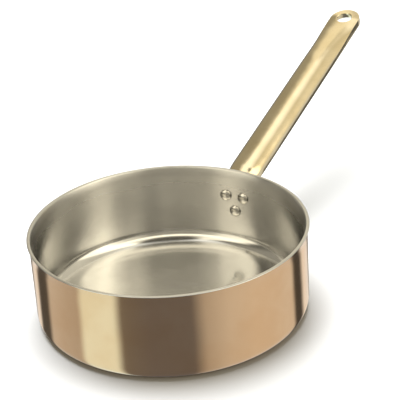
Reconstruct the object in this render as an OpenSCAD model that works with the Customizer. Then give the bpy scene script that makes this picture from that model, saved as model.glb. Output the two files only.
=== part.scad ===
// Straight-sided copper saucepan, tinned inside, with a cast brass stick handle held by three rivets.
// The origin is the centre of the underside of the base, +Z points up and the handle points along +X.

/* [Pan] */
// Outer diameter of the rim, across the flared lip
rim_d = 200; // [180:1:240]
// Height from the underside of the base to the top of the rim
pan_h = 66; // [60:1:90]
// Thickness of the copper sheet
copper_t = 2; // [1.5:0.1:2.5]
// Thickness of the tin lining
tin_t = 0.3; // [0.2:0.1:0.4]
// Outer radius between the wall and the base
corner_r = 9.5; // [5:0.5:12]
// Inner radius between the wall and the floor, where the sheet is thicker and tin gathers
floor_corner_r = 13; // [6:0.5:16]
// Height of the lip, the band at the top that leans outward
lip_h = 4.2; // [3:0.1:6]
// How far the lip leans outward
lip_flare = 1.4; // [0.5:0.1:2]

/* [Rivets] */
// Diameter of a rivet's shank
shank_d = 5; // [4:0.5:6]
// Diameter of the domed head inside the pan
head_d = 9.3; // [8:0.1:11]
// Height of the domed head
head_h = 2.3; // [1.5:0.1:3]
// Diameter of the hammered tail on the handle's flange
tail_d = 6.8; // [6:0.1:8]
// Height of the hammered tail
tail_h = 0.9; // [0.5:0.1:1.5]
// Distance between the two upper rivets
rivet_spread = 15.4; // [13:0.1:18]
// Depth of the two upper rivets below the rim
upper_rivet_depth = 21.4; // [20:0.1:24]
// Depth of the lower rivet below the rim
lower_rivet_depth = 33.7; // [32:0.1:38]

/* [Handle flange] */
// Thickness of the flange that is riveted to the wall
flange_t = 4; // [3:0.5:5]
// Radius of the flange's three round corners
flange_r = 8; // [7:0.5:9]
// Depth of the centres of the flange's two upper corners below the rim
flange_top_depth = 15; // [14.5:0.5:16]

/* [Handle] */
// Length of the handle along its own slope, from the wall to the tip
handle_len = 227; // [190:1:260]
// Angle of the handle above the horizontal
handle_rise = 18.4; // [12:0.2:24]
// Depth below the rim at which the handle's centre line meets the wall
root_depth = 13.2; // [13:0.1:14]
// Width of the grip
grip_w = 26.6; // [24:0.2:28]
// Width of the flattened tip
tip_w = 26; // [22:0.5:28]
// Thickness of the grip halfway along
grip_t = 11; // [10:0.5:13]
// Height of the sides of the flattened tip
tip_t = 8; // [7:0.5:9]
// Thickness of the brass that the hanging hole goes through
plate_t = 2.5; // [2:0.5:4]
// Thickness of the sides around the hollow under the handle
side_t = 3; // [2.5:0.5:4]
// Diameter of the hanging hole
hole_d = 13; // [8:0.5:14]

/* [Hidden] */

rim_r = rim_d / 2;
wall_r = rim_r - lip_flare;           // outside of the straight wall
copper_in_r = wall_r - copper_t;      // inside of the copper
inner_r = copper_in_r - tin_t;        // inside of the tin
flange_out_r = wall_r + flange_t;     // outside of the handle's flange
copper_top = pan_h - tin_t;           // the tin wraps over the copper's top edge
upper_rivet_z = pan_h - upper_rivet_depth;
lower_rivet_z = pan_h - lower_rivet_depth;
rivet_turn = asin(rivet_spread / 2 / wall_r);
reach = 30;                           // a drill long enough to pass wall and flange

// Stations along the handle, measured from the wall along its slope
neck_end = 22;
hollow_start = 45;
shoulder_start = handle_len * 0.64;   // the crown begins to flatten towards the tip
shoulder_end = handle_len - 16;
hole_s = handle_len - tip_w / 2;      // the hole shares its centre with the round tip
loft_start = 2.2;                     // the loft begins inside the flange
end_r = tip_w / 2;                    // the tip is round in plan
underside = -3.2;                     // the handle's straight underside, square to the slope
neck_w = grip_w - 3;                  // width where the handle leaves the flange
neck_crown_t = 8;                     // height of the crown there
grip_side_t = 2;                      // upright sides below the grip's crown
grip_power = 2.3;                     // 2 would make the grip's crown an ellipse, more fills its shoulders
tip_power = 2.2;                      // the same for the tip's flat arch
tip_crown_t = 1.6;                    // crown of the flattened tip
tip_top = underside + tip_t;

BODY_STEPS = 18;
END_STEPS = 8;
SECTION_POINTS = 24;
TIP_TURN = 89.5;                      // degrees of the tip's quarter circle, short of the point at 90
SKIN_FN = 180;                        // facets of the large cylinders that the flange and rivets lie on
$fn = 96;

// Smooth step from 0 at a to 1 at b
function ease(a, b, x) = let (t = min(1, max(0, (x - a) / (b - a)))) t * t * (3 - 2 * t);
function mix(a, b, t) = a + (b - a) * t;

// Point of the handle's own frame: s along the slope, y across, h square to the slope
function handle_point(s, y, h) = [
    wall_r + s * cos(handle_rise) - h * sin(handle_rise),
    y,
    pan_h - root_depth + s * sin(handle_rise) + h * cos(handle_rise)
];

// 0 on the round grip, rising to 1 at the flattened tip
function flatness(s) = ease(shoulder_start, shoulder_end, s);

// Size of the handle's section at station s
function full_width(s) = mix(mix(neck_w, grip_w, ease(0, neck_end, s)), tip_w, flatness(s));
function plan_width(s) =
    let (over = max(0, s - (handle_len - end_r)))
    full_width(s) * sqrt(max(0, 1 - pow(over / end_r, 2)));
function side_height(s) = mix(grip_side_t, tip_t - tip_crown_t, flatness(s));
function crown_height(s) =
    mix(mix(neck_crown_t, grip_t - grip_side_t, ease(0, neck_end, s)), tip_crown_t, flatness(s));

// Crown from the right edge (u = 1) to the left (u = -1): a superellipse on the grip, a flat arch at the tip
function crown(u, s) =
    let (flat = flatness(s))
    pow(max(0, 1 - pow(abs(u), mix(grip_power, tip_power, flat))), 1 / mix(grip_power, 1, flat));

// One ring of the outside: a flat bottom, two upright sides and the crown
function outside_ring(s) =
    let (w = plan_width(s) / 2, b = underside, v = side_height(s), c = crown_height(s))
    concat(
        [handle_point(s, -w, b), handle_point(s, w, b)],
        [for (i = [0 : SECTION_POINTS - 3])
            let (u = cos(180 * i / (SECTION_POINTS - 3)))
            handle_point(s, w * u, b + v + c * crown(u, s))]
    );

// Stations: even along the body, then closing up around the tip's half circle
function stations(from, to, r) = concat(
    [for (i = [0 : BODY_STEPS]) mix(from, to - r, i / BODY_STEPS)],
    [for (i = [1 : END_STEPS]) to - r + r * sin(TIP_TURN * i / END_STEPS)]
);

// Skins a list of rings of equal length and closes both ends
module loft(rings) {
    n = len(rings[0]);
    m = len(rings);
    sides = [for (j = [0 : m - 2]) for (i = [0 : n - 1])
        let (a = j * n + i, b = j * n + (i + 1) % n)
        for (tri = [[a, b + n, b], [a, a + n, b + n]]) tri];
    first = [for (i = [1 : n - 2]) [0, i, i + 1]];
    last = [for (i = [1 : n - 2]) [(m - 1) * n, (m - 1) * n + i + 1, (m - 1) * n + i]];
    polyhedron([for (ring = rings) for (p = ring) p], concat(sides, first, last), convexity = 6);
}

// Half section of a straight-sided pan filled solid, with a round corner at the base
module filled_section(r, corner, floor_z, top_z) {
    translate([0, floor_z]) square([r - corner, corner]);
    translate([0, floor_z + corner]) square([r, top_z - floor_z - corner]);
    translate([r - corner, floor_z + corner]) intersection() {
        circle(corner);
        translate([0, -corner]) square(corner);
    }
}

// The same section with the leaning lip, moved in from the outside by inset
module pan_section(inset, corner, top_z) {
    filled_section(wall_r - inset, corner, inset, pan_h - lip_h);
    polygon([
        [0, pan_h - lip_h],
        [wall_r - inset, pan_h - lip_h],
        [wall_r - inset + lip_flare * (top_z - pan_h + lip_h) / lip_h, top_z],
        [0, top_z]
    ]);
}

// Places its children where a rivet sits, with +Z pointing out of the pan
module at_rivet(turn, z) {
    rotate([0, 0, turn]) translate([0, 0, z]) rotate([0, 90, 0]) children();
}

// Places its children at each of the three rivets
module at_rivets() {
    at_rivet(rivet_turn, upper_rivet_z) children();
    at_rivet(-rivet_turn, upper_rivet_z) children();
    at_rivet(0, lower_rivet_z) children();
}

module rivet_holes() {
    at_rivets() translate([0, 0, inner_r - reach / 2]) cylinder(d = shank_d, h = reach);
}

module copper_body() {
    color("#c8865a") difference() {
        rotate_extrude() difference() {
            pan_section(0, corner_r, copper_top);
            pan_section(copper_t, floor_corner_r + tin_t, copper_top + 1);
        }
        rivet_holes();
    }
}

// Tin wiped over the inside of the copper and over its top edge
module tin_lining() {
    color("#c9c7bd") difference() {
        rotate_extrude() difference() {
            union() {
                pan_section(copper_t, floor_corner_r + tin_t, copper_top);
                translate([0, copper_top]) square([rim_r, tin_t]);
            }
            pan_section(copper_t + tin_t, floor_corner_r, pan_h + 1);
        }
        rivet_holes();
    }
}

// Outline of the flange, across and up: three round corners joined by their tangents
module flange_outline() {
    top = pan_h - flange_top_depth;
    side = [top - lower_rivet_z, -rivet_spread / 2] / norm([top - lower_rivet_z, rivet_spread / 2]);
    for (x = [-rivet_spread / 2, rivet_spread / 2]) translate([x, top]) circle(flange_r);
    translate([0, lower_rivet_z]) circle(flange_r);
    polygon([
        [-rivet_spread / 2, top + flange_r],
        [rivet_spread / 2, top + flange_r],
        [rivet_spread / 2 + flange_r * side[0], top + flange_r * side[1]],
        [flange_r * side[0], lower_rivet_z + flange_r * side[1]],
        [-flange_r * side[0], lower_rivet_z + flange_r * side[1]],
        [-rivet_spread / 2 - flange_r * side[0], top + flange_r * side[1]]
    ]);
}

// The flange lies against the wall, so both of its faces are round
module flange() {
    intersection() {
        rotate([90, 0, 90]) linear_extrude(flange_out_r + 1) flange_outline();
        difference() {
            cylinder(r = flange_out_r, h = pan_h, $fn = SKIN_FN);
            translate([0, 0, -1]) cylinder(r = wall_r, h = pan_h + 2, $fn = SKIN_FN);
        }
    }
}

// The hollow under the handle: a slot with round ends that opens downward
module hollow() {
    slot_r = end_r - side_t;
    run = handle_len - end_r - hollow_start;
    top = tip_top - plate_t;
    translate(handle_point(hollow_start, 0, top - reach)) rotate([0, -handle_rise, 0])
        linear_extrude(reach) {
            circle(slot_r);
            translate([0, -slot_r]) square([run, 2 * slot_r]);
            translate([run, 0]) circle(slot_r);
        }
}

module handle() {
    color("#d9bb74") difference() {
        union() {
            flange();
            loft([for (s = stations(loft_start, handle_len, end_r)) outside_ring(s)]);
        }
        hollow();
        translate(handle_point(hole_s, 0, -reach / 2)) rotate([0, -handle_rise, 0])
            cylinder(d = hole_d, h = reach);
        rivet_holes();
    }
}

// A domed head on the tin, a shank through wall and flange, and a hammered tail
module rivet(turn, z) {
    color("#cfcdc6") {
        intersection() {
            at_rivet(turn, z) dome(head_d, head_h, inner_r, -1);
            cylinder(r = inner_r, h = pan_h, $fn = SKIN_FN);
        }
        at_rivet(turn, z) translate([0, 0, inner_r - head_h / 2])
            cylinder(d = shank_d, h = flange_out_r - inner_r + head_h / 2 + tail_h / 2);
        difference() {
            at_rivet(turn, z) dome(tail_d, tail_h, flange_out_r, 1);
            cylinder(r = flange_out_r, h = pan_h, $fn = SKIN_FN);
        }
    }
}

// Cap of a sphere standing on a short plinth that reaches back through a curved face
module dome(d, h, from, way) {
    plinth = 0.5;
    cap_h = h - plinth / 2;
    ball_r = (d * d / 4 + cap_h * cap_h) / (2 * cap_h);
    translate([0, 0, from]) mirror([0, 0, way < 0 ? 1 : 0]) {
        translate([0, 0, -plinth]) cylinder(d = d, h = plinth * 1.5);
        translate([0, 0, plinth / 2]) intersection() {
            translate([0, 0, cap_h - ball_r]) sphere(ball_r);
            cylinder(d = d, h = cap_h);
        }
    }
}

module rivet_left() { rivet(rivet_turn, upper_rivet_z); }
module rivet_right() { rivet(-rivet_turn, upper_rivet_z); }
module rivet_bottom() { rivet(0, lower_rivet_z); }

copper_body();
tin_lining();
handle();
rivet_left();
rivet_right();
rivet_bottom();
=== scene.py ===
import math

import bmesh
import bpy
import numpy as np
from mathutils import Matrix, Vector


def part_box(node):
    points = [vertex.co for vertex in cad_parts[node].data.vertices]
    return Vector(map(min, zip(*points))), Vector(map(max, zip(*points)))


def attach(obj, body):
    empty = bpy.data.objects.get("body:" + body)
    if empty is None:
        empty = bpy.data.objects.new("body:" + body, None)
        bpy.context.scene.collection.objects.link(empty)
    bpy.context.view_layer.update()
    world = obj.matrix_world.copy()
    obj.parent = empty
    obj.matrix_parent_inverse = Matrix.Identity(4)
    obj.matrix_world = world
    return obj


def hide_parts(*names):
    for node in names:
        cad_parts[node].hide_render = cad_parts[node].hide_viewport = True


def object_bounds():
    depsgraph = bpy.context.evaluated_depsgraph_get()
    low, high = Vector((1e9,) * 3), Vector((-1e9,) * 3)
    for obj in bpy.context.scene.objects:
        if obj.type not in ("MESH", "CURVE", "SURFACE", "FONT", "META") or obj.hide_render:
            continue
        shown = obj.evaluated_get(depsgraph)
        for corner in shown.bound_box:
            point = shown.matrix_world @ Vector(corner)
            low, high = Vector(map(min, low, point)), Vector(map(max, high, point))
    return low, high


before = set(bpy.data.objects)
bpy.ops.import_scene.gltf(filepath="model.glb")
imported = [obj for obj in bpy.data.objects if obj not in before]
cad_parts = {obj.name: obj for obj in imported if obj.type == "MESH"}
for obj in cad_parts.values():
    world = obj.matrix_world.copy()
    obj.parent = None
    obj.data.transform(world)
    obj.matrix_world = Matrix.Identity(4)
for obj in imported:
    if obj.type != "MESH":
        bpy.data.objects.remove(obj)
cad_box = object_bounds()


# ---------------------------------------------------------------- the copper pan
# The pan is spun from one sheet of copper: a flat base, a small round corner, a straight wall and
# a lip that leans outward. It is polished on the lathe, so its finest scratches run around it.

MM = 0.001
low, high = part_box("tin_lining")
RIM_R = high.x                        # outside of the lip
PAN_H = high.z                        # top of the rim
COPPER_T = 2.0 * MM
TIN_T = 0.3 * MM
CORNER_R = 9.5 * MM                   # outside, between base and wall
INNER_CORNER_H = 11 * MM              # inside the sheet thickens there and tin gathers in it: the
INNER_CORNER_REACH = 16 * MM          # corner is this high up the wall and reaches this far in
LIP_H = 8.4 * MM
LIP_FLARE = 1.4 * MM
WALL_R = RIM_R - LIP_FLARE            # outside of the straight wall
AROUND = 320                          # columns around the pan


def arc(centre, radius, start_deg, end_deg, steps):
    """Points centre + radius (cos a, sin a), a running evenly from start to end."""
    a = np.radians(np.linspace(start_deg, end_deg, steps))
    return np.stack([centre[0] + radius * np.cos(a), centre[1] + radius * np.sin(a)], 1)


def line(start, end, steps):
    """Evenly spaced points from start to end, both included."""
    t = np.linspace(0, 1, steps)[:, None]
    return np.array(start) * (1 - t) + np.array(end) * t


def grid_faces(rows, columns, wrap=True):
    """Quads between neighbouring rows and columns of a grid; wrap joins the last column to the first."""
    r, c = np.meshgrid(np.arange(rows - 1), np.arange(columns if wrap else columns - 1), indexing="ij")
    n = (c + 1) % columns
    quads = np.stack([r * columns + c, r * columns + n, (r + 1) * columns + n, (r + 1) * columns + c], -1)
    return quads.reshape(-1, 4)


def make_piece(name, points, faces, smooth=True):
    """A mesh object from an array of points and a list of face index lists, smooth or flat shaded."""
    mesh = bpy.data.meshes.new(name)
    mesh.from_pydata(np.asarray(points, float).tolist(), [], [list(f) for f in faces])
    mesh.validate()
    mesh.polygons.foreach_set("use_smooth", np.full(len(mesh.polygons), smooth))
    mesh.update()
    obj = bpy.data.objects.new(name, mesh)
    bpy.context.scene.collection.objects.link(obj)
    return obj


def spin(name, profile, around, wave=None):
    """Turns a profile of (radius, height) about Z. It starts and ends on the axis, and both ends
    become one point. wave(angle, radius, height) gives how far each point moves outward."""
    inner = profile[1:-1]
    angle = np.linspace(0, 2 * math.pi, around, endpoint=False)
    r = np.repeat(inner[:, 0][:, None], around, 1)
    z = np.repeat(inner[:, 1][:, None], around, 1)
    a = np.repeat(angle[None, :], len(inner), 0)
    if wave is not None:
        r = r + wave(a, r, z)
    points = np.stack([r * np.cos(a), r * np.sin(a), z], -1).reshape(-1, 3)
    points = np.vstack([points, [0, 0, profile[0, 1]], [0, 0, profile[-1, 1]]])
    faces = grid_faces(len(inner), around).tolist()
    first, last = len(points) - 2, len(points) - 1
    end = (len(inner) - 1) * around
    for c in range(around):
        n = (c + 1) % around
        faces.append([first, n, c])
        faces.append([last, end + c, end + n])
    return make_piece(name, points, faces)


def pan_profile(inset, corner, top, reach=None):
    """One skin of the pan, from the middle of the base to the top of the lip, moved in by inset. The
    lip leans out smoothly: by LIP_FLARE (height above its start / LIP_H)^2. The corner is a quarter
    ellipse, corner high and reach wide, or a circle when reach isn't given."""
    reach = reach or corner
    wall = WALL_R - inset
    up = np.linspace(0, top - PAN_H + LIP_H, 14)
    return np.vstack([
        line((0, inset), (wall - reach, inset), 24)[:-1],
        arc((0, 0), 1, -90, 0, 28)[:-1] * (reach, corner) + (wall - reach, inset + corner),
        line((wall, inset + corner), (wall, PAN_H - LIP_H), 26)[:-1],
        np.stack([wall + LIP_FLARE * (up / LIP_H) ** 2, PAN_H - LIP_H + up], 1),
    ])


def wall_wave(angle, radius, height):
    """The spun wall is never quite true: sines around and up the wall, fading out at rim and foot."""
    up = np.clip((height - CORNER_R) / (PAN_H - LIP_H - CORNER_R), 0, 1)
    fade = np.sin(np.pi * up) ** 0.5 * (radius > WALL_R - 3 * MM)
    swell = np.sin(7 * angle + 1.3 + 5 * up) + 0.7 * np.sin(13 * angle + 4.1 - 9 * up)
    return 0.02 * MM * fade * (swell - 1.7)


copper_top = PAN_H - TIN_T
copper_profile = np.vstack([
    pan_profile(0, CORNER_R, copper_top),
    pan_profile(COPPER_T, INNER_CORNER_H + TIN_T, copper_top, INNER_CORNER_REACH + TIN_T)[::-1],
])
copper_body = spin("copper_body_spun", copper_profile, AROUND, wall_wave)


def new_material(name):
    """A node material whose one shader is a metal: the material, its node tree and its shader."""
    mat = bpy.data.materials.new(name)
    mat.use_nodes = True
    tree = mat.node_tree
    shader = tree.nodes["Principled BSDF"]
    shader.inputs["Metallic"].default_value = 1.0
    return mat, tree, shader


def add(tree, kind, inputs=None, **settings):
    """A node of that kind. inputs maps a socket's name or number to a value or to another node's output."""
    node = tree.nodes.new(kind)
    for key, value in settings.items():
        setattr(node, key, value)
    for key, value in (inputs or {}).items():
        if isinstance(value, bpy.types.NodeSocket):
            tree.links.new(value, node.inputs[key])
        else:
            node.inputs[key].default_value = value
    return node


def ramp(tree, factor, stops, interpolation="EASE"):
    """A colour ramp through (place, colour) stops."""
    node = add(tree, "ShaderNodeValToRGB", {"Fac": factor})
    node.color_ramp.interpolation = interpolation
    elements = node.color_ramp.elements
    while len(elements) < len(stops):
        elements.new(0.5)
    for element, (place, colour) in zip(elements, stops):
        element.position = place
        element.color = (*colour, 1) if len(colour) == 3 else colour
    return node


def copper_finish():
    """Polished copper: a soft pink and gold cloudiness, and hairlines left by the polishing wheel."""
    mat, tree, shader = new_material("polished_copper")
    place = add(tree, "ShaderNodeTexCoord").outputs["Object"]
    cloud = add(tree, "ShaderNodeTexNoise",
                {"Vector": place, "Scale": 22.0, "Detail": 4.0, "Roughness": 0.55})
    tint = ramp(tree, cloud.outputs["Fac"], [(0.3, (0.84, 0.55, 0.32)), (0.7, (0.89, 0.62, 0.39))])
    tree.links.new(tint.outputs["Color"], shader.inputs["Base Color"])
    stretched = add(tree, "ShaderNodeMapping", {"Vector": place, "Scale": (2.0, 2.0, 900.0)})
    hairs = add(tree, "ShaderNodeTexNoise", {"Vector": stretched.outputs[0], "Scale": 3.0, "Detail": 3.0})
    rough = add(tree, "ShaderNodeMapRange", {"Value": hairs.outputs["Fac"], "To Min": 0.13, "To Max": 0.18})
    tree.links.new(rough.outputs["Result"], shader.inputs["Roughness"])
    bump = add(tree, "ShaderNodeBump", {"Strength": 0.05, "Distance": 0.0002, "Height": hairs.outputs["Fac"]})
    tree.links.new(bump.outputs["Normal"], shader.inputs["Normal"])
    shader.inputs["Anisotropic"].default_value = 0.9
    shader.inputs["Anisotropic Rotation"].default_value = 0.25
    return mat


copper_body.data.materials.append(copper_finish())
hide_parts("copper_body")
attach(copper_body, "root")


# ---------------------------------------------------------------- the tin lining
# Molten tin is wiped over the inside of the copper and over the rim, then turned on the lathe.
# It is satin, with fine rings around it and faint clouds where the wiping pad passed.

EDGE_R = 0.45 * MM                    # rounding of the rim's outer edge
INNER_EDGE_R = 0.55 * MM              # and of its inner edge
inner = pan_profile(COPPER_T + TIN_T, INNER_CORNER_H, PAN_H - INNER_EDGE_R, INNER_CORNER_REACH)
outer = pan_profile(COPPER_T, INNER_CORNER_H + TIN_T, copper_top, INNER_CORNER_REACH + TIN_T)
lining_profile = np.vstack([
    outer,
    [[RIM_R - 0.12 * MM, copper_top]],
    arc((RIM_R - EDGE_R, PAN_H - EDGE_R), EDGE_R, 0, 90, 5),
    arc((inner[-1, 0] + INNER_EDGE_R, PAN_H - INNER_EDGE_R), INNER_EDGE_R, 90, 180, 7),
    inner[::-1],
])
tin_lining = spin("tin_lining_wiped", lining_profile, AROUND)


def tin_finish():
    """Satin tin: rings turned around the pan, and wiped clouds that change its gloss a little. It is
    duller higher up the wall than on the floor."""
    mat, tree, shader = new_material("satin_tin")
    place = add(tree, "ShaderNodeTexCoord").outputs["Object"]
    parts = add(tree, "ShaderNodeSeparateXYZ", {"Vector": place})
    flat = add(tree, "ShaderNodeCombineXYZ", {"X": parts.outputs["X"], "Y": parts.outputs["Y"]})
    radius = add(tree, "ShaderNodeVectorMath", {0: flat.outputs[0]}, operation="LENGTH")
    along = add(tree, "ShaderNodeMath", {0: radius.outputs["Value"], 1: parts.outputs["Z"]},
                operation="SUBTRACT")
    rings = add(tree, "ShaderNodeTexNoise", {"W": along.outputs[0], "Scale": 2200.0, "Detail": 3.0},
                noise_dimensions="1D")
    broad = add(tree, "ShaderNodeTexNoise", {"W": along.outputs[0], "Scale": 260.0, "Detail": 2.0},
                noise_dimensions="1D")
    cloud = add(tree, "ShaderNodeTexNoise", {"Vector": place, "Scale": 30.0, "Detail": 5.0})
    tint = ramp(tree, cloud.outputs["Fac"], [(0.3, (0.66, 0.655, 0.64)), (0.7, (0.73, 0.725, 0.71))])
    tree.links.new(tint.outputs["Color"], shader.inputs["Base Color"])
    mixed = add(tree, "ShaderNodeMath", {0: rings.outputs["Fac"], 1: broad.outputs["Fac"]}, operation="ADD")
    rough = add(tree, "ShaderNodeMapRange", {"Value": cloud.outputs["Fac"], "To Min": 0.10, "To Max": 0.14})
    upright = add(tree, "ShaderNodeMapRange",
                  {"Value": parts.outputs["Z"], "From Min": 8 * MM, "From Max": PAN_H,
                   "To Min": 0.0, "To Max": 0.20})
    rougher = add(tree, "ShaderNodeMath", {0: rough.outputs[0], 1: upright.outputs[0]}, operation="ADD")
    tree.links.new(rougher.outputs[0], shader.inputs["Roughness"])
    bump = add(tree, "ShaderNodeBump", {"Strength": 0.10, "Distance": 0.0002, "Height": mixed.outputs[0]})
    tree.links.new(bump.outputs["Normal"], shader.inputs["Normal"])
    shader.inputs["Anisotropic"].default_value = 0.85
    shader.inputs["Anisotropic Rotation"].default_value = 0.25
    return mat


tin_lining.data.materials.append(tin_finish())
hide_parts("tin_lining")
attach(tin_lining, "root")


# ---------------------------------------------------------------- the brass handle
# One sand casting in yellow brass: a shield-shaped flange that hugs the wall, a short neck and a
# long crowned grip, hollow underneath, whose flattened tip has a hanging hole. Polished by hand.

HANDLE_LEN = 227 * MM                 # from the wall along the slope
RISE = math.radians(18.4)
ROOT_DEPTH = 13.2 * MM                # where the centre line meets the wall, below the rim
GRIP_W = 26.6 * MM
TIP_W = 26 * MM
GRIP_SIDE = 2 * MM                    # upright sides below the grip's crown
GRIP_CROWN = 9 * MM
TIP_SIDE = 6.4 * MM                   # upright sides of the tip
TIP_CROWN = 1.6 * MM
UNDERSIDE = -3.2 * MM                 # the straight underside, square to the slope
PLATE_T = 2.5 * MM
SIDE_T = 3 * MM
HOLE_R = 6.5 * MM
FLANGE_T = 4 * MM
FLANGE_R = 8 * MM
RIVET_Y = 7.7 * MM
UPPER_RIVET_Z = PAN_H - 21.4 * MM
LOWER_RIVET_Z = PAN_H - 33.7 * MM
FLANGE_TOP_Z = PAN_H - 15 * MM
END_R = TIP_W / 2
HOLE_S = HANDLE_LEN - END_R           # the hole shares its centre with the round tip


def ease(a, b, x):
    """Smooth step from 0 at a to 1 at b."""
    t = np.clip((x - a) / (b - a), 0, 1)
    return t * t * (3 - 2 * t)


def mix(a, b, t):
    return a + (b - a) * t


def on_slope(s, y, h):
    """Handle coordinates to the pan's: s along the slope from the wall, y across, h square to it."""
    x = WALL_R + s * math.cos(RISE) - h * math.sin(RISE)
    z = PAN_H - ROOT_DEPTH + s * math.sin(RISE) + h * math.cos(RISE)
    return np.stack(np.broadcast_arrays(x, y, z), -1)


def round_corners(corners, radii, steps):
    """Rounds an open path's inner corners. corners is (stations, corners, 2). Each inner corner
    becomes steps points of a curve that leaves one side and joins the next, radius measured along them."""
    out = [corners[:, 0]]
    t = np.linspace(0, 1, steps)[None, :, None]
    for k in range(1, corners.shape[1] - 1):
        before, at, after = corners[:, k - 1], corners[:, k], corners[:, k + 1]
        for_side = lambda p: np.linalg.norm(p - at, axis=1)[:, None]
        reach = np.minimum(radii[k], 0.45 * np.minimum(for_side(before), for_side(after)))
        a = at + (before - at) / np.maximum(for_side(before), 1e-9) * reach
        b = at + (after - at) / np.maximum(for_side(after), 1e-9) * reach
        curve = (1 - t) ** 2 * a[:, None] + 2 * t * (1 - t) * at[:, None] + t ** 2 * b[:, None]
        out.extend(curve[:, i] for i in range(steps))
    out.append(corners[:, -1])
    return np.stack(out, 1)


CROWN_STEPS = 24
ARC_STEPS = 5
NECK_END = 16 * MM                    # from here on the sections are square to the slope
RIM_ROUND = 0.5 * MM                  # rounding of the hanging hole's edges


def flatness(s):
    """0 on the round grip, rising to 1 at the flattened tip."""
    return ease(0.64 * HANDLE_LEN, HANDLE_LEN - 16 * MM, s)


def plan_edge(s):
    """Half the width seen from above."""
    grip = mix(GRIP_W - 3 * MM, GRIP_W, ease(0, 22 * MM, s))
    return mix(grip, TIP_W, flatness(s)) / 2


def half_section(s, middle):
    """Right half of the section at stations s, as (station, point, (y, h)): from the middle over the
    crown to the edge, down the side, round the lip, up into the hollow and back to the middle. The
    crown's height is (1 - across^a)^(1/b): a = b = 2.3 on the grip, and a = 2.2, b = 1 at the tip."""
    edge = plan_edge(s)
    flatten = flatness(s)
    side = mix(GRIP_SIDE, TIP_SIDE, flatten)
    crown = mix(mix(8 * MM, GRIP_CROWN, ease(0, 22 * MM, s)), TIP_CROWN, flatten)
    bottom = np.full(len(s), UNDERSIDE)
    u = np.sin(np.linspace(0, 1, CROWN_STEPS) * math.pi / 2)[None, :]
    y = middle[:, None] + (edge - middle)[:, None] * u
    across = np.clip(y / edge[:, None], 0, 1)
    flat = flatten[:, None]
    shape = (1 - across ** mix(2.3, 2.2, flat)) ** (1 / mix(2.3, 1.0, flat))
    height = (bottom + side)[:, None] + crown[:, None] * shape
    roof = mix(5.5 * MM, PLATE_T, flatten)
    depth = ease(32 * MM, 70 * MM, s) * (side + crown - roof)
    wall = edge - SIDE_T
    corners = np.stack([
        np.stack([y[:, -2], height[:, -2]], -1),
        np.stack([edge, height[:, -1]], -1),
        np.stack([edge, bottom], -1),
        np.stack([wall, bottom], -1),
        np.stack([wall - 0.4 * MM, bottom + depth], -1),
        np.stack([middle, bottom + depth], -1),
    ], 1)
    rounded = round_corners(corners, [0, 0.5 * MM, 0.9 * MM, 0.8 * MM, 1.6 * MM, 0], ARC_STEPS)
    top = np.stack([y[:, :-2], height[:, :-2]], -1)
    t = np.linspace(0, 1, 8)[None, 1:-1, None]
    ceiling = rounded[:, -2][:, None] * (1 - t) + rounded[:, -1][:, None] * t
    return np.concatenate([top, rounded[:, :-1], ceiling, rounded[:, -1:]], 1)


def whole_ring(half):
    """Mirrors half sections into closed loops: the right half, then the left half back again."""
    return np.concatenate([half, (half[:, ::-1] * np.array([-1.0, 1.0]))[:, 1:-1]], 1)


def flange_reach(y_dir, z_dir, centre_z):
    """Distance from (0, centre_z) to the flange's edge along unit directions: the place where the
    distance to the triangle of its three corner centres equals the corner radius, found by halving."""
    corners = np.array([[RIVET_Y, FLANGE_TOP_Z], [-RIVET_Y, FLANGE_TOP_Z], [0, LOWER_RIVET_Z]])
    near, far = np.zeros_like(y_dir), np.full_like(y_dir, 60 * MM)
    for _ in range(32):
        middle = (near + far) / 2
        p = np.stack([middle * y_dir, centre_z + middle * z_dir], -1)
        gap = np.full(middle.shape, 1.0)
        inside = np.ones(middle.shape, bool)
        for a, b in zip(corners, np.roll(corners, -1, 0)):
            along = np.clip((p - a) @ (b - a) / ((b - a) @ (b - a)), 0, 1)
            gap = np.minimum(gap, np.linalg.norm(p - a - along[:, None] * (b - a), axis=-1))
            inside &= (b - a)[0] * (p[:, 1] - a[1]) - (b - a)[1] * (p[:, 0] - a[0]) > 0
        outside = ~inside & (gap > FLANGE_R)
        far = np.where(outside, middle, far)
        near = np.where(outside, near, middle)
    return middle


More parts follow.
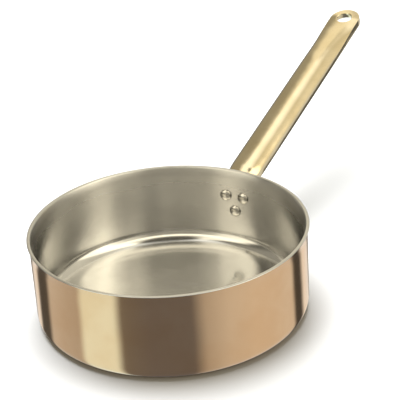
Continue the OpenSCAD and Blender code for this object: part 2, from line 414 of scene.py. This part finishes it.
def flange_and_neck():
    """Closed loops from the middle of the flange's back, round its edge, over its face and up the
    fillet to the neck. Each point keeps its own direction from the neck's centre line."""
    plate_r = WALL_R + FLANGE_T
    edge_r = 0.9 * MM
    fillet_r = 3.0 * MM
    centre_z = PAN_H - ROOT_DEPTH + 1.3 * MM
    neck = whole_ring(half_section(np.zeros(1), np.zeros(1)))[0]

    def neck_meets(radius):
        """Stations where the neck, run back along its slope, meets a cylinder round the pan."""
        out = np.sqrt(radius ** 2 - neck[:, 0] ** 2) - WALL_R
        return (out + neck[:, 1] * math.sin(RISE)) / math.cos(RISE)

    foot = on_slope(neck_meets(plate_r), neck[:, 0], neck[:, 1])
    y_dir, z_dir = foot[:, 1], foot[:, 2] - centre_z
    root = np.hypot(y_dir, z_dir)
    y_dir, z_dir = y_dir / root, z_dir / root
    edge = flange_reach(y_dir, z_dir, centre_z)

    def on_plate(reach, radius):
        y = reach * y_dir
        return np.stack([np.sqrt(radius ** 2 - y ** 2), y, centre_z + reach * z_dir], -1)

    rings = [on_plate(edge * t, WALL_R) for t in np.linspace(0, 1, 7)]
    rings += [on_plate(edge, WALL_R + (FLANGE_T - edge_r) * t) for t in (0.3, 0.7)]
    for a in np.radians(np.linspace(0, 90, 5)):
        rings.append(on_plate(edge - edge_r * (1 - math.cos(a)), plate_r - edge_r * (1 - math.sin(a))))
    fillet = np.clip(0.8 * (edge - edge_r - root), 0.1 * MM, fillet_r)
    rings += [on_plate(mix(edge - edge_r, root + fillet, t), plate_r) for t in np.linspace(0.15, 1, 8)]
    for a in np.radians(np.linspace(15, 90, 6)):
        lifted = on_slope(neck_meets(plate_r + fillet_r * (1 - math.cos(a))), neck[:, 0], neck[:, 1])
        rings.append(on_plate(root + fillet * (1 - math.sin(a)), plate_r) + lifted - foot)
    for t in np.linspace(0.2, 1, 5):
        section = whole_ring(half_section(np.array([NECK_END * t]), np.zeros(1)))[0]
        stations = mix(neck_meets(plate_r + fillet_r), NECK_END, t)
        rings.append(on_slope(stations, section[:, 0], section[:, 1]))
    return np.array(rings)


def build_handle():
    """Joins four sheets by their shared edges: flange and neck, the grip's two halves, the round tip,
    which is the half section turned about the hole's centre, and the wall of the hole."""
    hole_edge = HOLE_R + RIM_ROUND
    beta = np.radians(np.linspace(0, 90, 15))
    stations = np.concatenate([np.linspace(NECK_END, HOLE_S - hole_edge, 130)[:-1],
                               HOLE_S - hole_edge * np.cos(beta)])
    middle = np.concatenate([np.zeros(129), hole_edge * np.sin(beta)])
    half = half_section(stations, middle)
    columns = half.shape[1]
    right = on_slope(stations[:, None], half[..., 0], half[..., 1])
    left = right * np.array([1.0, -1.0, 1.0])
    turn = np.linspace(0, math.pi, 41)[:, None]
    tip = on_slope(HOLE_S + half[-1, :, 0] * np.sin(turn), half[-1, :, 0] * np.cos(turn), half[-1, :, 1])

    around = np.concatenate([beta - math.pi / 2, turn[1:-1, 0], math.pi * 1.5 - beta[::-1]])[:, None]
    upper = np.concatenate([half[129:, 0, 1], np.full(39, half[-1, 0, 1]), half[129:, 0, 1][::-1]])[:, None]
    lower = np.concatenate([half[129:, -1, 1], np.full(39, half[-1, -1, 1]),
                            half[129:, -1, 1][::-1]])[:, None]
    q = np.radians(np.linspace(0, 90, 5))[None, :]
    out = np.concatenate([hole_edge - RIM_ROUND * np.sin(q), hole_edge - RIM_ROUND * np.cos(q)], 1)
    height = np.concatenate([upper - RIM_ROUND * (1 - np.cos(q)),
                             lower + RIM_ROUND * (1 - np.sin(q))], 1)
    hole = on_slope(HOLE_S + out * np.sin(around), out * np.cos(around), height)

    neck = flange_and_neck()
    sheets = [(neck, True), (right, False), (left, False), (tip, False), (hole, False)]
    points, faces, offset = [], [], 0
    for sheet, wrap in sheets:
        faces += (grid_faces(sheet.shape[0], sheet.shape[1], wrap) + offset).tolist()
        points.append(sheet.reshape(-1, 3))
        offset += sheet.shape[0] * sheet.shape[1]
    handle = make_piece("handle_cast", np.vstack(points), faces)
    mesh = bmesh.new()
    mesh.from_mesh(handle.data)
    bmesh.ops.remove_doubles(mesh, verts=mesh.verts, dist=0.002 * MM)
    bmesh.ops.dissolve_degenerate(mesh, edges=mesh.edges, dist=0.0005 * MM)
    bmesh.ops.recalc_face_normals(mesh, faces=mesh.faces)
    mesh.to_mesh(handle.data)
    mesh.free()
    return handle


handle = build_handle()


def brass_finish():
    """Hand-polished yellow brass: soft cloudiness, and fine scratches along the handle."""
    mat, tree, shader = new_material("polished_brass")
    place = add(tree, "ShaderNodeTexCoord").outputs["Object"]
    cloud = add(tree, "ShaderNodeTexNoise", {"Vector": place, "Scale": 40.0, "Detail": 4.0})
    tint = ramp(tree, cloud.outputs["Fac"], [(0.3, (0.86, 0.73, 0.48)), (0.7, (0.92, 0.80, 0.56))])
    tree.links.new(tint.outputs["Color"], shader.inputs["Base Color"])
    sloped = add(tree, "ShaderNodeMapping",
                 {"Vector": place, "Rotation": (0, RISE, 0), "Scale": (8.0, 400.0, 400.0)})
    hairs = add(tree, "ShaderNodeTexNoise", {"Vector": sloped.outputs[0], "Scale": 3.0, "Detail": 3.0})
    rough = add(tree, "ShaderNodeMapRange", {"Value": hairs.outputs["Fac"], "To Min": 0.10, "To Max": 0.20})
    tree.links.new(rough.outputs["Result"], shader.inputs["Roughness"])
    swell = add(tree, "ShaderNodeTexNoise", {"Vector": place, "Scale": 55.0, "Detail": 1.0})
    low_bump = add(tree, "ShaderNodeBump",
                   {"Strength": 0.35, "Distance": 0.0006, "Height": swell.outputs["Fac"]})
    bump = add(tree, "ShaderNodeBump", {"Strength": 0.04, "Distance": 0.0002, "Height": hairs.outputs["Fac"],
                                        "Normal": low_bump.outputs["Normal"]})
    tree.links.new(bump.outputs["Normal"], shader.inputs["Normal"])
    return mat


handle.data.materials.append(brass_finish())
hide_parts("handle")
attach(handle, "root")


# ---------------------------------------------------------------- the three rivets
# Tinned copper rivets driven from inside the pan: a domed head sits on the lining, and the other
# end is hammered over on the brass flange.

INNER_R = WALL_R - COPPER_T - TIN_T
HEAD_R = 4.65 * MM
HEAD_H = 2.3 * MM
SHANK_R = 2.5 * MM
TAIL_R = 3.4 * MM
TAIL_H = 0.9 * MM


def make_rivet(name, turn, height):
    """A profile of (radius, distance out from the pan's axis) turned about the rivet's own axis. Faces
    that lie against a round wall follow it: out = sqrt(wall^2 - across^2)."""
    a = np.radians(np.linspace(90, 0, 14))
    head = np.stack([HEAD_R * np.cos(a) ** 0.9, INNER_R - 0.35 * MM - (HEAD_H - 0.35 * MM) * np.sin(a)], 1)
    seat = np.array([[HEAD_R - 0.05 * MM, INNER_R - 0.02 * MM], [SHANK_R + 0.3 * MM, INNER_R]])
    shank = line((SHANK_R, INNER_R + 0.2 * MM), (SHANK_R, WALL_R + FLANGE_T - 0.2 * MM), 6)
    base = WALL_R + FLANGE_T
    tail = np.stack([TAIL_R * np.cos(a[::-1]) ** 0.7,
                     base + 0.15 * MM + (TAIL_H - 0.15 * MM) * np.sin(a[::-1])], 1)
    tail_seat = np.array([[SHANK_R + 0.3 * MM, base], [TAIL_R - 0.05 * MM, base + 0.01 * MM]])
    profile = np.vstack([head, seat, shank, tail_seat, tail])
    rivet = spin(name, profile, 48)
    co = np.array([v.co for v in rivet.data.vertices])
    near_wall = np.clip(1 - np.abs(co[:, 2] - INNER_R) / HEAD_H, 0, 1) * (co[:, 2] < INNER_R + 0.1 * MM)
    near_flange = co[:, 2] > base - 0.1 * MM
    sag = co[:, 2] - np.sqrt(np.maximum(co[:, 2] ** 2 - co[:, 1] ** 2, 0))
    out = co[:, 2] - sag * np.where(near_flange, 1.0, near_wall)
    c, s = math.cos(turn), math.sin(turn)
    placed = np.stack([out * c - co[:, 1] * s, out * s + co[:, 1] * c, height - co[:, 0]], 1)
    rivet.data.vertices.foreach_set("co", placed.ravel())
    rivet.data.update()
    mesh = bmesh.new()
    mesh.from_mesh(rivet.data)
    bmesh.ops.recalc_face_normals(mesh, faces=mesh.faces)
    mesh.to_mesh(rivet.data)
    mesh.free()
    return rivet


def rivet_finish():
    """Tinned copper, burnished by the hammer: bright, with small soft dents."""
    mat, tree, shader = new_material("tinned_rivet")
    place = add(tree, "ShaderNodeTexCoord").outputs["Object"]
    dents = add(tree, "ShaderNodeTexNoise", {"Vector": place, "Scale": 420.0, "Detail": 2.0})
    tint = ramp(tree, dents.outputs["Fac"], [(0.3, (0.62, 0.60, 0.56)), (0.7, (0.80, 0.79, 0.75))])
    tree.links.new(tint.outputs["Color"], shader.inputs["Base Color"])
    rough = add(tree, "ShaderNodeMapRange", {"Value": dents.outputs["Fac"], "To Min": 0.10, "To Max": 0.2})
    tree.links.new(rough.outputs["Result"], shader.inputs["Roughness"])
    bump = add(tree, "ShaderNodeBump", {"Strength": 0.2, "Distance": 0.0002, "Height": dents.outputs["Fac"]})
    tree.links.new(bump.outputs["Normal"], shader.inputs["Normal"])
    return mat


rivet_material = rivet_finish()
rivet_turn = math.asin(RIVET_Y / WALL_R)
for name, turn, height in (("rivet_left", rivet_turn, UPPER_RIVET_Z),
                           ("rivet_right", -rivet_turn, UPPER_RIVET_Z),
                           ("rivet_bottom", 0.0, LOWER_RIVET_Z)):
    rivet = make_rivet(name + "_driven", turn, height)
    rivet.data.materials.append(rivet_material)
    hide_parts(name)
    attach(rivet, "root")


# ---------------------------------------------------------------- the studio
# A plain pale floor under a wrap-around studio: pale softboxes to both sides and overhead, darker
# gaps between them, all soft. Directions are counted from the camera's side of the pan.

VIEW_TURN = math.radians(33.5)        # heading from the camera to the pan, from +X towards +Y
VIEW_DOWN = math.radians(30.91)
DISTANCE = 945.8 * MM
LENS = 116.1

scene = bpy.context.scene
scene.view_settings.view_transform = "Standard"
away = Vector((math.cos(VIEW_TURN), math.sin(VIEW_TURN), 0))
right = Vector((math.sin(VIEW_TURN), -math.cos(VIEW_TURN), 0))

world = bpy.data.worlds.new("studio")
scene.world = world
world.use_nodes = True
tree = world.node_tree
for node in list(tree.nodes):
    tree.nodes.remove(node)
direction = add(tree, "ShaderNodeTexCoord").outputs["Generated"]
to_right = add(tree, "ShaderNodeVectorMath", {0: direction, 1: right}, operation="DOT_PRODUCT")
to_away = add(tree, "ShaderNodeVectorMath", {0: direction, 1: away}, operation="DOT_PRODUCT")
to_camera = add(tree, "ShaderNodeMath", {0: to_away.outputs["Value"], 1: -1.0}, operation="MULTIPLY")
heading = add(tree, "ShaderNodeMath", {0: to_right.outputs["Value"], 1: to_camera.outputs[0]},
              operation="ARCTAN2")
all_round = add(tree, "ShaderNodeMapRange",
                {"Value": heading.outputs[0], "From Min": -math.pi, "From Max": math.pi})
# The low softboxes are tilted, so that their edges stand upright in a leaning surface: their heading
# is twice the angle whose tangent is right / (towards the camera + cos VIEW_DOWN).
shifted = add(tree, "ShaderNodeMath", {0: to_camera.outputs[0], 1: math.cos(VIEW_DOWN)}, operation="ADD")
half_heading = add(tree, "ShaderNodeMath", {0: to_right.outputs["Value"], 1: shifted.outputs[0]},
                   operation="ARCTAN2")
low_round = add(tree, "ShaderNodeMapRange",
                {"Value": half_heading.outputs[0], "From Min": -math.pi / 2, "From Max": math.pi / 2})
parts = add(tree, "ShaderNodeSeparateXYZ", {"Vector": direction})


def bands(around, stops):
    """Brightness by heading in degrees, 0 towards the camera and positive to its right."""
    places = [((deg + 180) / 360, colour) for deg, colour in stops]
    return ramp(tree, around.outputs[0], places, "LINEAR")


WARM = (1.0, 0.98, 0.92)
CREAM = (1.0, 0.91, 0.70)


def tone(level, colour=WARM):
    return tuple(level * c for c in colour)


def cream(level):
    return tone(level, CREAM)


low_band = bands(low_round, [
    (-180, tone(0.25)), (-168, tone(0.25)), (-161, tone(0.9)), (-150, tone(0.9)), (-144, tone(0.09)),
    (-128, tone(0.09)), (-122, tone(0.60)), (-86, tone(0.48)), (-80, (0.88, 1.05, 1.02)),
    (-51, (0.88, 1.05, 1.02)), (-44, tone(0.18)), (-20, (0.150, 0.152, 0.165)),
    (14, (0.150, 0.152, 0.165)), (25, tone(0.46)), (45, tone(0.62)), (70, tone(0.70)),
    (117, tone(0.70)), (122, tone(0.07)), (134, tone(0.07)), (142, tone(0.9)), (161, tone(0.9)),
    (168, tone(0.25)), (180, tone(0.25))])
middle_band = bands(all_round, [
    (-180, cream(1.0)), (-174, cream(1.0)), (-168, cream(0.34)), (-136, cream(0.34)),
    (-122, cream(0.35)), (-108, cream(0.35)), (-96, cream(0.16)), (-88, cream(0.18)),
    (-80, cream(1.6)), (-70, cream(1.6)), (-50, cream(1.3)), (-42, cream(0.75)), (-24, cream(0.42)),
    (16, cream(0.40)), (30, cream(0.9)), (40, cream(1.0)), (52, cream(1.6)), (60, cream(2.3)),
    (86, cream(1.9)), (93, cream(0.8)), (140, cream(0.7)), (168, cream(0.7)), (174, cream(1.0)),
    (180, cream(1.0))])
high_card = bands(all_round, [
    (-180, cream(0.0)), (-95, cream(0.0)), (-80, cream(2.0)), (80, cream(2.0)), (95, cream(0.0)),
    (180, cream(0.0))])
tipped = add(tree, "ShaderNodeVectorMath", {0: direction, 1: Vector((0, 0, 1)) - away * 0.12},
             operation="DOT_PRODUCT")
raised = add(tree, "ShaderNodeMapRange",
             {"Value": tipped.outputs["Value"], "From Min": -0.02, "From Max": 0.14},
             interpolation_type="SMOOTHSTEP")
sides = add(tree, "ShaderNodeMix", {0: raised.outputs[0], 6: low_band.outputs[0], 7: middle_band.outputs[0]},
            data_type="RGBA")
leaning = add(tree, "ShaderNodeVectorMath", {0: direction, 1: Vector((0, 0, 0.98)) + away * 0.2},
              operation="DOT_PRODUCT")
overhead = add(tree, "ShaderNodeMapRange",
               {"Value": leaning.outputs["Value"], "From Min": 0.915, "From Max": 0.96},
               interpolation_type="SMOOTHSTEP")
# A long reflector card on the camera's side, above the softboxes: it lights the pan's inner corner.
card_height = ramp(tree, parts.outputs["Z"],
                   [(0.66, (0, 0, 0)), (0.71, (1, 1, 1)), (0.82, (1, 1, 1)), (0.87, (0, 0, 0))])
carded = add(tree, "ShaderNodeMix", {0: card_height.outputs[0], 6: sides.outputs[2], 7: high_card.outputs[0]},
             data_type="RGBA", blend_type="LIGHTEN")
# The softbox overhead is dimmer towards the right.
leaning_right = add(tree, "ShaderNodeMapRange",
                    {"Value": to_right.outputs["Value"], "From Min": 0.0, "From Max": 0.4},
                    interpolation_type="SMOOTHSTEP")
ceiling = add(tree, "ShaderNodeMix",
              {0: leaning_right.outputs[0], 6: (1.4, 1.34, 1.18, 1), 7: (0.9, 0.86, 0.74, 1)},
              data_type="RGBA")
lit = add(tree, "ShaderNodeMix", {0: overhead.outputs[0], 6: carded.outputs[2], 7: ceiling.outputs[2]},
          data_type="RGBA")
# A dark hood hangs almost straight above, a little to the camera's side.
HOOD_UP = math.radians(78)
hood_way = Vector((0, 0, math.sin(HOOD_UP))) - away * math.cos(HOOD_UP)
to_hood = add(tree, "ShaderNodeVectorMath", {0: direction, 1: hood_way}, operation="DOT_PRODUCT")
hood = add(tree, "ShaderNodeMapRange",
           {"Value": to_hood.outputs["Value"], "From Min": 0.95, "From Max": 0.98},
           interpolation_type="SMOOTHSTEP")
studio = add(tree, "ShaderNodeMix", {0: hood.outputs[0], 6: lit.outputs[2], 7: (*cream(0.12), 1)},
             data_type="RGBA")
light = add(tree, "ShaderNodeBackground", {"Color": studio.outputs[2], "Strength": 1.0})
add(tree, "ShaderNodeOutputWorld", {"Surface": light.outputs[0]})

FLOOR_HALF = 4                        # metres
floor_points = FLOOR_HALF * np.array([[-1, -1, 0], [1, -1, 0], [1, 1, 0], [-1, 1, 0]], float)
floor_points[:, 2] = cad_box[0][2]
floor = make_piece("floor", floor_points, [[0, 1, 2, 3]], smooth=False)
floor_mat = bpy.data.materials.new("pale_floor")
floor_mat.use_nodes = True
floor_tree = floor_mat.node_tree
floor_tree.nodes.remove(floor_tree.nodes["Principled BSDF"])
matte = add(floor_tree, "ShaderNodeBsdfDiffuse", {"Color": (0.28, 0.285, 0.29, 1)})
floor_tree.links.new(matte.outputs[0], floor_tree.nodes["Material Output"].inputs["Surface"])
floor.data.materials.append(floor_mat)
floor.visible_glossy = False


def soft_light(name, side, back, up, size, power):
    """A square area light aimed at the pan. side, back and up are metres from the middle of its base."""
    lamp = bpy.data.lights.new(name, "AREA")
    lamp.size = size
    lamp.energy = power
    obj = bpy.data.objects.new(name, lamp)
    obj.location = right * side + away * back + Vector((0, 0, up))
    obj.rotation_euler = (-obj.location).to_track_quat("-Z", "Y").to_euler()
    scene.collection.objects.link(obj)
    return obj


lamp = soft_light("back_softbox", -0.14, 0.40, 1.7, 1.3, 160)
lamp.visible_glossy = False


# ---------------------------------------------------------------- the camera
# It looks down on the pan from the side away from the handle, leaning a little to its right.

LEAN = math.radians(4.46)
OFF_LEFT = math.radians(1.157)        # the base's centre is left of and below the middle of the view
OFF_DOWN = math.radians(4.655)

camera_place = -away * DISTANCE * math.cos(VIEW_DOWN) + Vector((0, 0, DISTANCE * math.sin(VIEW_DOWN)))
forward = -camera_place.normalized()
across = forward.cross(Vector((0, 0, 1))).normalized()
upward = across.cross(forward)
level = Matrix((across, upward, forward))
lean = Matrix(((math.cos(LEAN), -math.sin(LEAN), 0), (math.sin(LEAN), math.cos(LEAN), 0), (0, 0, 1)))
offset = Vector((-math.tan(OFF_LEFT), -math.tan(OFF_DOWN), 1)).normalized()
swing = Vector((0, 0, 1)).rotation_difference(offset).to_matrix()
rows = swing @ lean @ level
camera_data = bpy.data.cameras.new("camera")
camera_data.lens = LENS
camera_data.sensor_width = 36
camera_data.clip_start = 0.01
camera = bpy.data.objects.new("camera", camera_data)
turned = Matrix((rows[0], rows[1], -rows[2])).transposed().to_4x4()
camera.matrix_world = Matrix.Translation(camera_place) @ turned
scene.collection.objects.link(camera)
scene.camera = camera
